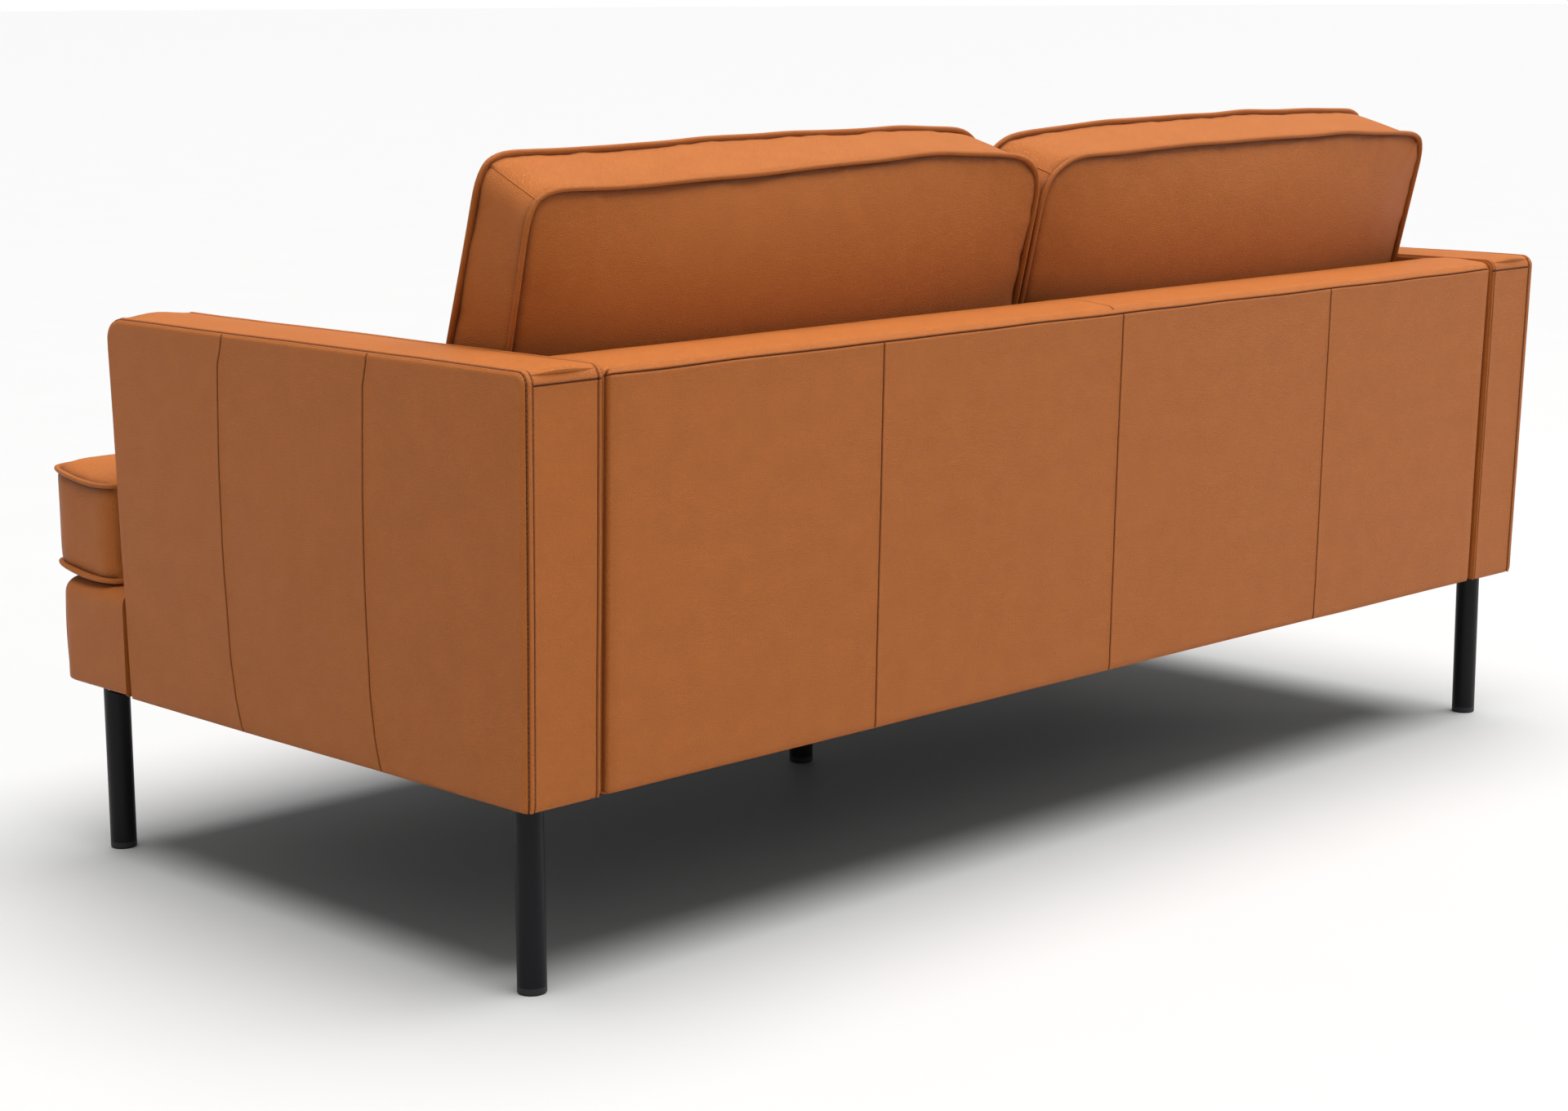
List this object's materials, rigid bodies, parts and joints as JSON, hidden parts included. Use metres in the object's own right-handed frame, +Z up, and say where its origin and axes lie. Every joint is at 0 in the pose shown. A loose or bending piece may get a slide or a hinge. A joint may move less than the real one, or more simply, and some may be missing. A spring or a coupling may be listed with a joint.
{
  "type": "sofa",
  "caption": "Leather sofa with box arms, a low backrest, loose seat cushions with ears in front of the arms, loose leaning back cushions and round steel legs.",
  "frame": {"origin": "on the floor, at the centre of the sofa's outline", "axes": "+X to the sitter's left, +Y to the back, +Z up"},
  "size_m": [1.862, 0.9352, 0.8779],
  "materials": {
    "leather": "semi-matte, fine grain",
    "leg_steel": "satin black",
    "glide_plastic": "matte",
    "zinc_steel": "zinc plated",
    "spring_steel": "oiled",
    "zipper": "woven tape with moulded teeth",
    "foam": "open-cell foam under white wadding",
    "felt": "needled felt",
    "black_cloth": "non-woven",
    "webbing": "elastic webbing",
    "hardboard": "raw hardboard",
    "plywood": "raw plywood",
    "timber": "raw pine"
  },
  "bodies": {
    "frame": {"arm_left_bottom_rail": "timber", "arm_left_cover": "leather", "arm_left_front_post": "timber", "arm_left_outer_board": "hardboard", "arm_left_padding": "foam", "arm_left_rear_post": "timber", "arm_left_top_rail": "timber", "arm_right_bottom_rail": "timber", "arm_right_cover": "leather", "arm_right_front_post": "timber", "arm_right_outer_board": "hardboard", "arm_right_padding": "foam", "arm_right_rear_post": "timber", "arm_right_top_rail": "timber", "back_board": "hardboard", "back_bottom_rail": "plywood", "back_cover": "leather", "back_padding": "foam", "back_top_rail": "plywood", "back_upright_centre": "plywood", "back_upright_left": "plywood", "back_upright_right": "plywood", "back_webbing": "webbing", "corner_blocks": "timber", "deck_cloth": "black_cloth", "deck_felt": "felt", "dust_cover": "black_cloth", "frame_screws": "zinc_steel", "front_leg_blocks": "timber", "front_rail_cover": "leather", "front_rail_padding": "foam", "leg_centre": "leg_steel", "leg_front_left": "leg_steel", "leg_front_right": "leg_steel", "leg_glides": "glide_plastic", "leg_plate_screws": "zinc_steel", "leg_plates": "zinc_steel", "leg_rear_left": "leg_steel", "leg_rear_right": "leg_steel", "seat_centre_rail": "timber", "seat_front_rail": "timber", "seat_rear_rail": "timber", "seat_side_rail_left": "timber", "seat_side_rail_right": "timber", "seat_springs": "spring_steel", "spring_clips": "zinc_steel", "wing_back_boards": "timber"},
    "seat_cushion_left": {"seat_cushion_left_core": "foam", "seat_cushion_left_cover": "leather", "seat_cushion_left_zipper": "zipper"},
    "seat_cushion_right": {"seat_cushion_right_core": "foam", "seat_cushion_right_cover": "leather", "seat_cushion_right_zipper": "zipper"},
    "back_cushion_left": {"back_cushion_left_core": "foam", "back_cushion_left_cover": "leather", "back_cushion_left_zipper": "zipper"},
    "back_cushion_right": {"back_cushion_right_core": "foam", "back_cushion_right_cover": "leather", "back_cushion_right_zipper": "zipper"}
  },
  "joints": [
    {"name": "seat_cushion_left_slide", "type": "slide", "parent": "frame", "child": "seat_cushion_left", "axis": [0, -1, 0], "range_m": [0, 0.34]},
    {"name": "back_cushion_left_lift", "type": "slide", "parent": "frame", "child": "back_cushion_left", "axis": [0, 0.2419, 0.9703], "range_m": [0, 0.4]},
    {"name": "seat_cushion_right_slide", "type": "slide", "parent": "frame", "child": "seat_cushion_right", "axis": [0, -1, 0], "range_m": [0, 0.34]},
    {"name": "back_cushion_right_lift", "type": "slide", "parent": "frame", "child": "back_cushion_right", "axis": [0, 0.2419, 0.9703], "range_m": [0, 0.4]}
  ]
}
